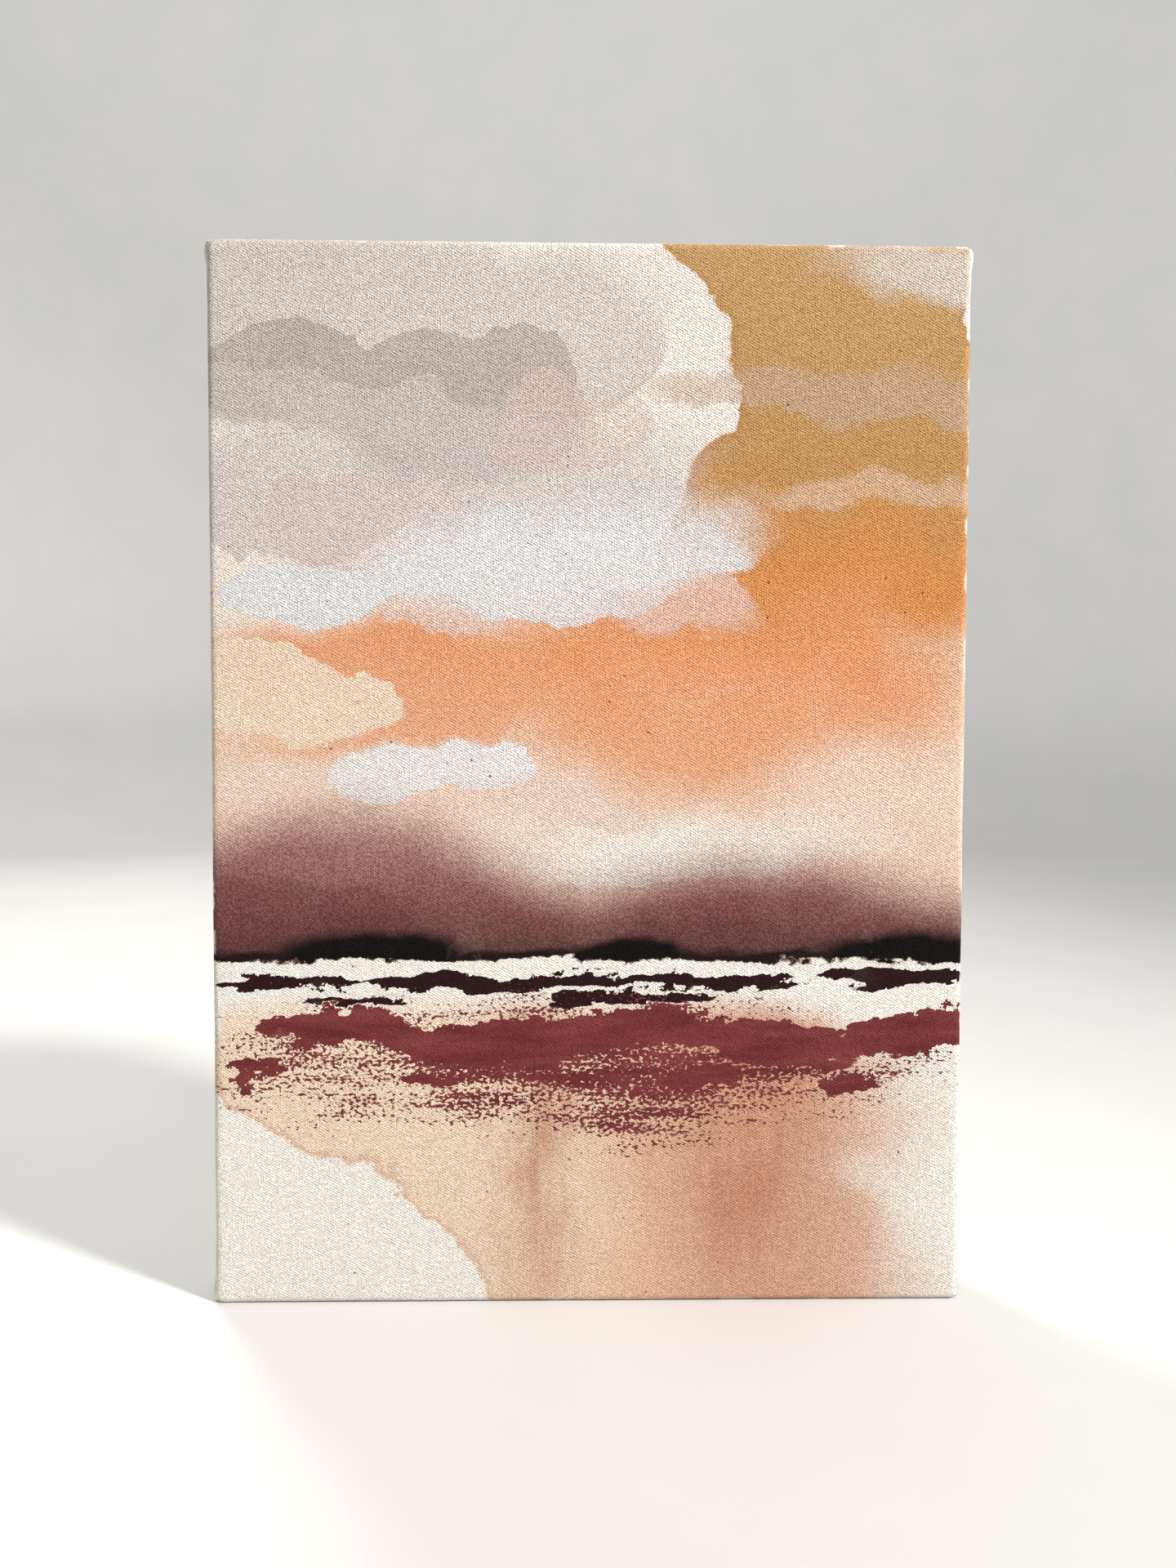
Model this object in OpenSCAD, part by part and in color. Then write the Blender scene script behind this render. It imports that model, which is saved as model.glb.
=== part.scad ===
// A small stretched canvas: one cloth wrapped round four pine stretcher bars.
// The bars meet in slotted and mitred corner joints, and two wooden keys in
// each corner can be tapped in to spread the bars and tighten the cloth.
// The panel stands on its bottom edge. The painted face looks along -Y,
// the width runs along X and the height along Z.

/* [Panel] */
// Width of the whole panel, with the folded corners of the cloth
panel_w = 250; // [220:1:500]
// Height of the whole panel
panel_h = 350; // [280:1:600]
// Depth of the whole panel, from the painted face to the staples on the back
panel_d = 20; // [19:0.5:26]

/* [Cloth] */
// Thickness of the cotton cloth with its priming and paint
cloth_t = 0.5; // [0.3:0.1:0.6]
// Width of the hem, the cloth that is turned onto the back of the bars
hem_w = 27; // [20:1:32]
// Length of the folded pleat along each side of the panel, from the corner
pleat_len = 21; // [18:1:24]

/* [Stretcher bars] */
// Width of a bar, from its outer edge to its inner edge
bar_w = 36; // [34:1:44]
// Radius of the outer front edge that the cloth is pulled over
front_edge_r = 2; // [1:0.5:3]
// Radius of the outer back edge
back_edge_r = 1.5; // [1:0.5:2]
// Radius of the frame's four outer corners
corner_r = 1.5; // [1:0.5:2]
// Width of the flat lip along the outer edge, which carries the cloth
lip_w = 7; // [5:1:12]
// How far the front of a bar falls away from the cloth at its inner edge
bevel_drop = 3; // [1:0.5:3]
// Size of the small chamfers along the inner edges
inner_ease = 0.8; // [0.4:0.2:1]
// Clearance between the faces of a corner joint
joint_gap = 0.1; // [0.05:0.05:0.2]
// How far a tongue ends short of the outside of the frame
tongue_setback = 1.5; // [1:0.5:3]

/* [Keys] */
// Length of a key
key_len = 36; // [32:1:40]
// Thickness of a key
key_t = 3.4; // [3:0.1:3.6]
// Width of a key at its thin end
key_tip_w = 5.5; // [4.5:0.5:6.5]
// Width that a key gains over its whole length
key_gain = 6; // [4:0.2:7]
// How far a seated key reaches into its slot
key_depth = 16; // [12:1:18]
// Size of the clipped corners of a key
key_clip = 1.2; // [0.6:0.2:1.6]

/* [Staples] */
// Length of a staple's crown
crown_len = 11; // [9:1:13]
// Width of the flat staple wire
wire_w = 1.2; // [0.8:0.1:1.4]
// Thickness of the flat staple wire
wire_t = 0.5; // [0.4:0.1:0.6]
// Length of a staple's legs below the crown
leg_len = 5.4; // [4.6:0.2:5.4]
// Distance from the outside of the frame to a row of staples
staple_inset = 15; // [10:1:17]
// Number of staples along the top and along the bottom
staples_across = 4; // [2:1:5]
// Number of staples along each side
staples_upright = 6; // [3:1:7]

/* [Hidden] */
$fn = 64;
eps = 0.01;

// The frame of bars, inside the cloth
frame_w = panel_w - 4 * cloth_t;
frame_h = panel_h - 2 * cloth_t;
frame_d = panel_d - 3 * cloth_t - wire_t;
frame_left = -frame_w / 2;
frame_low = cloth_t;
frame_front = -panel_d / 2 + cloth_t;
frame_back = frame_front + frame_d;
hem_back = frame_back + cloth_t;
pleat_back = hem_back + cloth_t;

// The corner joint is made of layers, one behind the other: a mitred cheek,
// the tongue of the top or bottom bar, the tongue of the side bar, and
// another mitred cheek.
layer_t = key_t + 0.3;
cheek_t = (frame_d - 2 * layer_t) / 2;
across_front = frame_front + cheek_t;
across_back = across_front + layer_t;
upright_back = across_back + layer_t;
layer_clear = (layer_t - key_t) / 2;

// A slot is longer than the tongue in it by the room that a key takes up
key_taper = key_gain / key_len;
key_room = 2 * joint_gap + key_tip_w + key_depth * key_taper;
body_inset = bar_w + key_room;

// Where the rounded edges of the wrapped cloth end
round_front = front_edge_r + cloth_t;
round_back = back_edge_r + cloth_t;
round_corner = corner_r + cloth_t;

// Rows of staples keep clear of the slots in the ends of the bars
staple_margin = body_inset + crown_len;
corner_staple_at = [14, 19];

// ---- Places ----

// Everything is drawn for the bottom left corner and mirrored to the others
module at_top() {
    translate([0, 0, panel_h]) mirror([0, 0, 1]) children();
}

module at_right() {
    mirror([1, 0, 0]) children();
}

module at_all_corners() {
    children();
    at_right() children();
    at_top() children();
    at_top() at_right() children();
}

// Origin at the bottom left corner of the frame: X runs in from the left
// edge of the frame, and Z up from its bottom edge.
module from_corner() {
    translate([frame_left, 0, frame_low]) children();
}

// A flat shape drawn in X and Z, made solid between two depths
module slab(front, back) {
    translate([0, back, 0]) rotate([90, 0, 0]) linear_extrude(back - front) children();
}

// A cross-section drawn in depth and height, made solid along X
module along_x(from, to) {
    translate([from, 0, 0]) rotate([90, 0, 90]) linear_extrude(to - from) children();
}

// ---- Rounded shapes ----

// The waste outside a rounded corner at the origin
module corner_waste(r) {
    difference() {
        translate([-1, -1]) square(r + 1);
        translate([r, r]) circle(r);
        translate([r, -2]) square(r + 4);
        translate([-2, r]) square(r + 4);
    }
}

// A rectangle from [0, 0] to size, with its near corners rounded by r_low
// and its far corners by r_high, counted along its first axis
module rounded_rect(size, r_low, r_high) {
    difference() {
        square(size);
        corner_waste(r_low);
        translate([0, size[1]]) mirror([0, 1]) corner_waste(r_low);
        translate([size[0], 0]) mirror([1, 0]) corner_waste(r_high);
        translate(size) rotate(180) corner_waste(r_high);
    }
}

// A block with every outer edge rounded
module rounded_block(w, h, low, front, depth, r_front, r_back, r_corner) {
    intersection() {
        translate([-w / 2, 0, low])
            slab(front, front + depth) rounded_rect([w, h], r_corner, r_corner);
        along_x(-w / 2 - 1, w / 2 + 1)
            translate([front, low]) rounded_rect([depth, h], r_front, r_back);
        translate([-w / 2, front, low - 1]) linear_extrude(h + 2)
            translate([0, depth]) rotate(-90) rounded_rect([depth, w], r_back, r_front);
    }
}

// The outside of the frame of bars
module frame_envelope() {
    rounded_block(
        frame_w, frame_h, frame_low, frame_front, frame_d,
        front_edge_r, back_edge_r, corner_r
    );
}

// ---- Cloth ----

module wrapped_cloth() {
    opening_w = frame_w + 2 * cloth_t - 2 * hem_w;
    opening_h = panel_h - 2 * hem_w;
    difference() {
        rounded_block(
            frame_w + 2 * cloth_t, panel_h, 0,
            frame_front - cloth_t, frame_d + 2 * cloth_t,
            round_front, round_back, round_corner
        );
        frame_envelope();
        translate([-opening_w / 2, frame_back - 1, hem_w])
            cube([opening_w, 3, opening_h]);
    }
}

// The extra layer where a corner of the cloth is folded in on the side
module side_pleat() {
    front = frame_front + front_edge_r;
    back = frame_back - back_edge_r;
    translate([frame_left - 2 * cloth_t, 0, 0])
        rotate([90, 0, 90])
        linear_extrude(cloth_t)
        polygon([[front, round_corner], [back, round_corner], [back, pleat_len]]);
}

// The same fold where it lies on the hem
module back_pleat() {
    from_corner()
        slab(hem_back, pleat_back)
        polygon([
            [back_edge_r, 3.5],
            [hem_w - 3.5, hem_w - 1.5],
            [hem_w - 3.5, hem_w + 4],
            [back_edge_r, pleat_len]
        ]);
}

module canvas() {
    color("linen") {
        wrapped_cloth();
        at_all_corners() {
            side_pleat();
            back_pleat();
        }
    }
}

// ---- Stretcher bars ----

// Cross-section of a bar: depth along X, and distance from the outer edge along Y
module bar_section() {
    polygon([
        [0, 0],
        [0, lip_w],
        [bevel_drop, bar_w - inner_ease],
        [bevel_drop + inner_ease, bar_w],
        [frame_d - inner_ease, bar_w],
        [frame_d, bar_w - inner_ease],
        [frame_d, 0]
    ]);
}

// Outline of the bottom bar's mitred cheeks, seen from the front
module across_mitre() {
    polygon([
        [joint_gap, 0],
        [frame_w - joint_gap, 0],
        [frame_w - bar_w - joint_gap, bar_w],
        [bar_w + joint_gap, bar_w]
    ]);
}

// Outline of the left bar's mitred cheeks, seen from the front
module upright_mitre() {
    polygon([
        [0, joint_gap],
        [bar_w, bar_w + joint_gap],
        [bar_w, frame_h - bar_w - joint_gap],
        [0, frame_h - joint_gap]
    ]);
}

module across_bar() {
    intersection() {
        frame_envelope();
        along_x(frame_left, -frame_left)
            translate([frame_front, frame_low]) bar_section();
        from_corner() {
            slab(frame_front - 1, across_front) across_mitre();
            slab(across_front - eps, across_back - joint_gap)
                translate([tongue_setback, 0]) square([frame_w - 2 * tongue_setback, bar_w]);
            slab(frame_front - 1, frame_back + 1)
                translate([body_inset, 0]) square([frame_w - 2 * body_inset, bar_w]);
            slab(upright_back + joint_gap, frame_back + 1) across_mitre();
        }
    }
}

module upright_bar() {
    intersection() {
        frame_envelope();
        translate([frame_left, frame_front, frame_low]) linear_extrude(frame_h)
            mirror([1, 0]) rotate(90) bar_section();
        from_corner() {
            slab(frame_front - 1, across_front - joint_gap) upright_mitre();
            slab(across_back, upright_back + eps)
                translate([0, tongue_setback]) square([bar_w, frame_h - 2 * tongue_setback]);
            slab(frame_front - 1, frame_back + 1)
                translate([0, body_inset]) square([bar_w, frame_h - 2 * body_inset]);
            slab(upright_back, frame_back + 1) upright_mitre();
        }
    }
}

module bottom_bar() {
    color("burlywood") across_bar();
}

module top_bar() {
    color("burlywood") at_top() across_bar();
}

module left_bar() {
    color("burlywood") upright_bar();
}

module right_bar() {
    color("burlywood") at_right() upright_bar();
}

// ---- Keys ----

// Outline of a key: its straight edge runs along X from its thin end, and
// the corners that meet the hammer and the slot are clipped
module key_outline() {
    polygon([
        [key_clip, 0],
        [key_len - key_clip, 0],
        [key_len, key_clip],
        [key_len, key_tip_w + key_gain - key_clip],
        [key_len - key_clip, key_tip_w + key_gain - key_clip * key_taper],
        [key_clip, key_tip_w + key_clip * key_taper],
        [0, key_tip_w - key_clip],
        [0, key_clip]
    ]);
}

// A key beside the bottom bar, in the slot of the left bar
module flat_key() {
    color("wheat")
        from_corner()
        slab(across_front + layer_clear, across_back - layer_clear)
        translate([bar_w - key_depth, bar_w + joint_gap])
        key_outline();
}

// A key beside the left bar, in the slot of the bottom bar
module upright_key() {
    color("wheat")
        from_corner()
        slab(across_back + layer_clear, upright_back - layer_clear)
        translate([bar_w + joint_gap, bar_w - key_depth])
        mirror([1, 0]) rotate(90)
        key_outline();
}

module flat_key_bottom_left() {
    flat_key();
}

module flat_key_bottom_right() {
    at_right() flat_key();
}

module flat_key_top_left() {
    at_top() flat_key();
}

module flat_key_top_right() {
    at_top() at_right() flat_key();
}

module upright_key_bottom_left() {
    upright_key();
}

module upright_key_bottom_right() {
    at_right() upright_key();
}

module upright_key_top_left() {
    at_top() upright_key();
}

module upright_key_top_right() {
    at_top() at_right() upright_key();
}

// ---- Staples ----

// A staple with its crown centred on the origin and along X, and its legs
// driven towards -Y
module staple() {
    color("silver") difference() {
        translate([-crown_len / 2, -leg_len, -wire_w / 2])
            cube([crown_len, leg_len + wire_t, wire_w]);
        translate([-crown_len / 2 + wire_t, -leg_len - 1, -wire_w])
            cube([crown_len - 2 * wire_t, leg_len + 1, 2 * wire_w]);
    }
}

// Evenly spaced places along a bar, between its staple margins
function row_places(length, count) =
    [for (i = [0 : count - 1]) staple_margin + i * (length - 2 * staple_margin) / (count - 1)];

module bottom_staples() {
    from_corner()
        for (x = row_places(frame_w, staples_across))
            translate([x, hem_back, staple_inset]) staple();
}

module top_staples() {
    at_top() bottom_staples();
}

module left_staples() {
    from_corner()
        for (z = row_places(frame_h, staples_upright))
            translate([staple_inset, hem_back, z]) rotate([0, 90, 0]) staple();
}

module right_staples() {
    at_right() left_staples();
}

// One staple across the folded corner
module corner_staple() {
    from_corner()
        translate([corner_staple_at[0], pleat_back, corner_staple_at[1]])
        rotate([0, 45, 0])
        staple();
}

module corner_staple_bottom_left() {
    corner_staple();
}

module corner_staple_bottom_right() {
    at_right() corner_staple();
}

module corner_staple_top_left() {
    at_top() corner_staple();
}

module corner_staple_top_right() {
    at_top() at_right() corner_staple();
}

canvas();
top_bar();
bottom_bar();
left_bar();
right_bar();
flat_key_top_left();
flat_key_top_right();
flat_key_bottom_left();
flat_key_bottom_right();
upright_key_top_left();
upright_key_top_right();
upright_key_bottom_left();
upright_key_bottom_right();
top_staples();
bottom_staples();
left_staples();
right_staples();
corner_staple_top_left();
corner_staple_top_right();
corner_staple_bottom_left();
corner_staple_bottom_right();
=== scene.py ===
"""The looks of a small stretched canvas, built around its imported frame."""
import math
import random
from collections import namedtuple

import bmesh
import bpy
from mathutils import Matrix, Vector, noise


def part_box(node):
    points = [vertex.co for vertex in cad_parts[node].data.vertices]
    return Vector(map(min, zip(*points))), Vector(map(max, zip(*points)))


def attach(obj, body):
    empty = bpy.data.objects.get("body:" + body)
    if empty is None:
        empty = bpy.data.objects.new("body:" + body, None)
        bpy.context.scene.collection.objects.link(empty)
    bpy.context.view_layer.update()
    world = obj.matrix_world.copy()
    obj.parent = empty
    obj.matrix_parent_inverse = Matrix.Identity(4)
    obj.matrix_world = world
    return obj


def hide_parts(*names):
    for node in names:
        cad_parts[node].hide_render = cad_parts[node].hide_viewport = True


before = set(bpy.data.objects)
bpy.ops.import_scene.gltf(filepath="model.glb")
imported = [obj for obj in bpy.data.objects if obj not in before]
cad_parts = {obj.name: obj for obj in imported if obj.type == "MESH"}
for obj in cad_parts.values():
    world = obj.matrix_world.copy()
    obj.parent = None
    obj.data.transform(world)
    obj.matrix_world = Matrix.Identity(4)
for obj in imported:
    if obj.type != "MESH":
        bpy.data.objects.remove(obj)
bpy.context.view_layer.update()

MM = 0.001
PANEL = "panel"          # the body that everything but the keys rides on

# ---- Sizes, from the frame ----

cloth_low, cloth_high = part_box("canvas")
left_low, left_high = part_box("left_bar")
bottom_low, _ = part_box("bottom_bar")

CLOTH_T = bottom_low.z - cloth_low.z
HALF_W = -left_low.x + CLOTH_T          # to the outside of the cloth, away from the folds
WIDTH = 2 * HALF_W
HEIGHT = cloth_high.z
FRONT = cloth_low.y
HEM_BACK = left_high.y + CLOTH_T

# ---- Sizes of the cloth's own details ----

FRONT_R = 2.5 * MM       # bend over the bars' front edge
BACK_R = 2.0 * MM        # bend over their back edge
CORNER_R = 2.0 * MM      # the panel's corners, seen from the front
FOLD_R = 0.3 * MM        # the same on the back, where the hem is folded
HEM_W = 27 * MM
PLEAT_REACH = 21 * MM    # how far a corner fold runs along the side
PLEAT_H = 0.9 * MM       # how far two more layers of cloth lift it on the side
HEM_PLEAT_H = 0.5 * MM   # and on the back, where they are pulled tight
CELL = 2.1 * MM          # spacing of the mesh on the flat parts

THREAD_ACROSS = 0.52 * MM    # spacing of the threads along X
THREAD_UP = 0.295 * MM       # and along Z
TWILL_REPEAT = 3             # threads in one repeat of the weave
WEAVE_H = 0.09               # millimetres of relief for one unit of weave()

CAD_WELD = 0.01 * MM         # points of a CAD mesh nearer than this are one
CLOTH_WELD = 0.002 * MM      # and points of the cloth, where the face meets its edge
CROWN_SKIN = 0.2 * MM        # points of a CAD staple this near its top are its crown's


def hexa(code):
    """A colour picked as an sRGB hex code, in the linear values that shaders use."""
    parts = [int(code[i:i + 2], 16) / 255 for i in (0, 2, 4)]
    return tuple(p / 12.92 if p < 0.04045 else ((p + 0.055) / 1.055) ** 2.4 for p in parts) + (1,)


def smooth(low, high, x):
    """0 below low and 1 above high, with a soft turn between them."""
    t = min(max((x - low) / (high - low), 0), 1)
    return t * t * (3 - 2 * t)


# ---- Shader nodes, written as arithmetic ----

class Field:
    """A number that varies over a surface. Arithmetic on it adds Math nodes."""

    def __init__(self, tree, socket):
        self.tree = tree
        self.socket = socket

    def math(self, operation, *others):
        return self.tree.math(operation, self, *others)

    def __add__(self, other):
        return self.math("ADD", other)

    def __sub__(self, other):
        return self.math("SUBTRACT", other)

    def __mul__(self, other):
        return self.math("MULTIPLY", other)

    def __truediv__(self, other):
        return self.math("DIVIDE", other)

    def __rsub__(self, other):
        return self.tree.math("SUBTRACT", other, self)

    __radd__ = __add__
    __rmul__ = __mul__

    def at_least(self, other):
        return self.math("MAXIMUM", other)

    def step(self, low, high):
        """0 at low and 1 at high, turning softly between them. Low may be above high."""
        node = self.tree.add(
            "ShaderNodeMapRange",
            {"Value": self, "From Min": low, "From Max": high},
            interpolation_type="SMOOTHSTEP",
        )
        return Field(self.tree, node.outputs["Result"])

    def bell(self, centre, width):
        """1 at centre, falling to 0 a few widths away."""
        away = (self - centre) / width
        return self.tree.math("EXPONENT", away * away * -1)


class Tree:
    """A material's nodes."""

    def __init__(self, name, **settings):
        self.material = bpy.data.materials.new(name)
        self.material.use_nodes = True
        self.nodes = self.material.node_tree.nodes
        self.links = self.material.node_tree.links
        self.shader = self.nodes["Principled BSDF"]
        for socket, value in settings.items():
            self.feed(self.shader.inputs[socket.replace("_", " ").title()], value)

    def feed(self, socket, value):
        if isinstance(value, Field):
            value = value.socket
        if isinstance(value, bpy.types.NodeSocket):
            self.links.new(value, socket)
        else:
            socket.default_value = value

    def add(self, kind, inputs=None, **settings):
        node = self.nodes.new(kind)
        for name, value in settings.items():
            setattr(node, name, value)
        for key, value in (inputs or {}).items():
            self.feed(node.inputs[key], value)
        return node

    def math(self, operation, *values):
        node = self.add("ShaderNodeMath", dict(enumerate(values)), operation=operation)
        return Field(self, node.outputs[0])

    def place(self, attribute=None):
        """The point being shaded as three fields: a named attribute's, or the object's own."""
        if attribute:
            socket = self.add("ShaderNodeAttribute", attribute_name=attribute).outputs["Vector"]
        else:
            socket = self.add("ShaderNodeTexCoord").outputs["Object"]
        node = self.add("ShaderNodeSeparateXYZ", {0: socket})
        return [Field(self, out) for out in node.outputs]

    def vector(self, x, y, z):
        return self.add("ShaderNodeCombineXYZ", {0: x, 1: y, 2: z}).outputs[0]

    def noise(self, x, y, z=0, detail=2, rough=0.5):
        """Noise with features about one unit across, between 0 and 1. Over x and y alone, z is a
        plain number that picks the pattern."""
        node = self.add(
            "ShaderNodeTexNoise",
            {"Vector": self.vector(x, y, z), "Scale": 1, "Detail": detail, "Roughness": rough},
        )
        return Field(self, node.outputs["Fac"])

    def cells(self, x, y, z):
        """Distance to the nearest of scattered points about one unit apart, and its random colour."""
        node = self.add("ShaderNodeTexVoronoi", {"Vector": self.vector(x, y, z), "Scale": 1})
        return Field(self, node.outputs["Distance"]), node.outputs["Color"]

    def ramp(self, field, stops):
        """Colours along a field: stops are (place, hex code)."""
        node = self.add("ShaderNodeValToRGB", {0: field})
        while len(node.color_ramp.elements) < len(stops):
            node.color_ramp.elements.new(1)
        for element, (at, code) in zip(node.color_ramp.elements, stops):
            element.position = at
            element.color = hexa(code)
        return node.outputs["Color"]

    def mix(self, amount, below, above):
        node = self.add("ShaderNodeMix", data_type="RGBA")
        self.feed(node.inputs["Factor"], amount)
        self.feed(node.inputs[6], below)
        self.feed(node.inputs[7], above)
        return node.outputs[2]

    def scaled(self, colour, share):
        """A colour made darker by a share under 1, or lighter by one over 1."""
        node = self.add("ShaderNodeVectorMath", {0: colour}, operation="SCALE")
        self.feed(node.inputs["Scale"], share)
        return node.outputs[0]

    def bump(self, height_mm):
        """Relief given in millimetres."""
        node = self.add("ShaderNodeBump", {"Height": height_mm, "Distance": MM, "Strength": 1})
        self.feed(self.shader.inputs["Normal"], node.outputs[0])


# ---- Meshes ----

def as_object(name, mesh):
    """Turns a bmesh into a smooth-shaded object in the scene, and frees it."""
    data = bpy.data.meshes.new(name)
    for face in mesh.faces:
        face.smooth = True
    mesh.to_mesh(data)
    mesh.free()
    thing = bpy.data.objects.new(name, data)
    bpy.context.scene.collection.objects.link(thing)
    return thing


def join_rings(mesh, rings):
    """Faces between each closed ring of points and the next one."""
    for near, far in zip(rings, rings[1:]):
        count = len(near)
        for k in range(count):
            after = (k + 1) % count
            mesh.faces.new((near[k], near[after], far[after], far[k]))


def cap_ends(mesh, rings):
    mesh.faces.new(list(reversed(rings[0])))
    mesh.faces.new(rings[-1])


# ---- Camera, lights and floor ----

CAMERA_AT = Vector((-7.9, -397.8, 188.8)) * MM
CAMERA_TURN = math.radians(-1.07)
CAMERA_PITCH = math.radians(-2.21)
CAMERA_ROLL = math.radians(-0.16)
LENS_MM = 27.04
CLIP_START = 10 * MM

WORLD_TINT = (0.95, 0.97, 1.0, 1)
WORLD_STRENGTH = 0.335

FLOOR_R = 1.7            # flat part of the floor
SWEEP_R = 0.5            # its rim's bend up into the wall
WALL_H = 1.6
FLOOR_RINGS = 6
SWEEP_STEPS = 10
FLOOR_TURNS = 96
FLOOR_SHADE = 0.80       # how dark the floor's paint is beside the wall's
MOTTLES_PER_M = 9


def make_camera():
    camera = bpy.data.objects.new("camera", bpy.data.cameras.new("camera"))
    bpy.context.scene.collection.objects.link(camera)
    camera.data.lens = LENS_MM
    camera.data.clip_start = CLIP_START
    camera.matrix_world = (
        Matrix.Translation(CAMERA_AT)
        @ Matrix.Rotation(CAMERA_TURN, 4, "Z")
        @ Matrix.Rotation(CAMERA_PITCH, 4, "X")
        @ Matrix.Rotation(CAMERA_ROLL, 4, "Y")
        @ Matrix.Rotation(math.radians(90), 4, "X")
    )
    bpy.context.scene.camera = camera


def make_light(name, at, size, watts, tint, spread=180, target=(0, 0, HEIGHT / 2)):
    lamp = bpy.data.lights.new(name, "AREA")
    lamp.shape = "DISK"
    lamp.size = size
    lamp.spread = math.radians(spread)
    lamp.energy = watts
    lamp.color = tint
    light = bpy.data.objects.new(name, lamp)
    bpy.context.scene.collection.objects.link(light)
    light.location = at
    light.rotation_mode = "QUATERNION"
    light.rotation_quaternion = (Vector(target) - Vector(at)).to_track_quat("-Z", "Y")


def make_lights():
    """A focused key from the upper right, as in the photo, with soft lights round it."""
    make_light(
        "key", at=(1.10, -0.78, 1.15), size=0.20, watts=6.7, tint=(1.0, 0.975, 0.945),
        spread=70, target=(0, 0, HEIGHT),
    )
    make_light("fill", at=(-0.9, -1.1, 0.5), size=1.0, watts=2.2, tint=(0.94, 0.965, 1.0))
    make_light("back", at=(-0.7, 1.1, 1.2), size=0.5, watts=12, tint=(1.0, 0.98, 0.95))
    make_light(
        "backdrop", at=(0, 0.3, 2.3), size=1.4, watts=14, tint=(1.0, 0.99, 0.97),
        target=(0, 2.2, 0.6),
    )
    world = bpy.data.worlds.new("studio")
    world.use_nodes = True
    background = world.node_tree.nodes["Background"]
    background.inputs["Color"].default_value = WORLD_TINT
    background.inputs["Strength"].default_value = WORLD_STRENGTH
    bpy.context.scene.world = world
    bpy.context.scene.view_settings.view_transform = "Standard"


def make_floor():
    """A round pale floor whose rim sweeps up into a wall all round."""
    outline = [(FLOOR_R * i / FLOOR_RINGS, 0) for i in range(1, FLOOR_RINGS + 1)]
    for i in range(1, SWEEP_STEPS + 1):
        a = math.pi / 2 * i / SWEEP_STEPS
        outline.append((FLOOR_R + SWEEP_R * math.sin(a), SWEEP_R * (1 - math.cos(a))))
    outline.append((FLOOR_R + SWEEP_R, SWEEP_R + WALL_H))
    mesh = bmesh.new()
    rings = []
    for r, z in outline:
        ring = []
        for k in range(FLOOR_TURNS):
            a = 2 * math.pi * k / FLOOR_TURNS
            ring.append(mesh.verts.new((r * math.cos(a), r * math.sin(a), z)))
        rings.append(ring)
    mesh.faces.new(rings[0])
    for near, far in zip(rings, rings[1:]):
        for k in range(FLOOR_TURNS):
            after = (k + 1) % FLOOR_TURNS
            mesh.faces.new((near[k], far[k], far[after], near[after]))
    floor = as_object("floor", mesh)
    tree = Tree("floor_paint", roughness=0.55)
    x, y, z = tree.place()
    mottle = tree.noise(x * MOTTLES_PER_M, y * MOTTLES_PER_M, z * MOTTLES_PER_M, detail=4)
    wall = tree.ramp(mottle, [(0.3, "ebebe9"), (0.7, "f0efed")])
    colour = tree.mix(z.step(0, SWEEP_R), tree.scaled(wall, FLOOR_SHADE), wall)
    tree.feed(tree.shader.inputs["Base Color"], colour)
    floor.data.materials.append(tree.material)


# ---- Staples ----

Staple = namedtuple("Staple", "at along")    # middle of the crown's underside, and its direction


def islands(node):
    """The separate solids of a CAD node, each as a list of its points."""
    mesh = bmesh.new()
    mesh.from_mesh(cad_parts[node].data)
    bmesh.ops.remove_doubles(mesh, verts=mesh.verts, dist=CAD_WELD)
    left = set(mesh.verts)
    found = []
    while left:
        group = []
        waiting = [left.pop()]
        while waiting:
            vert = waiting.pop()
            group.append(vert.co.copy())
            for edge in vert.link_edges:
                other = edge.other_vert(vert)
                if other in left:
                    left.remove(other)
                    waiting.append(other)
        found.append(group)
    mesh.free()
    return sorted(found, key=lambda group: (round(group_middle(group).x, 4), group_middle(group).z))


def group_middle(group):
    return sum(group, Vector()) / len(group)


def staples_in(node):
    """Where the staples of a CAD node are."""
    found = []
    for group in islands(node):
        top = max(p.y for p in group)
        crown = [p for p in group if p.y > top - CROWN_SKIN]
        middle = group_middle(crown)
        far = max(crown, key=lambda p: (p - middle).length)
        mates = sorted(crown, key=lambda p: (p - far).length)
        end = (mates[0] + mates[1]) / 2
        along = (end - middle).normalized()
        found.append(Staple(Vector((middle.x, top, middle.z)), along))
    return found


STAPLE_NODES = [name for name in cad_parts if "staple" in name]
STAPLES = {name: staples_in(name) for name in sorted(STAPLE_NODES)}
ALL_STAPLES = [staple for group in STAPLES.values() for staple in group]

CROWN_LEN = 11 * MM
LEG_LEN = 5.4 * MM
WIRE_W = 1.2 * MM
WIRE_T = 0.5 * MM
WIRE_CORNER_R = 0.14 * MM
SHOULDER_R = 0.9 * MM
SHOULDER_STEPS = 6
CROWN_BOW = 0.06 * MM        # how far the crown stands up in its middle
CROWN_SIDE_BOW = 0.04 * MM   # and half way to its ends
STAPLE_TILT = 4              # degrees either way that a staple is turned by
STAPLE_SINK = (0.1, 0.2)     # millimetres that it is sunk by


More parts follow.
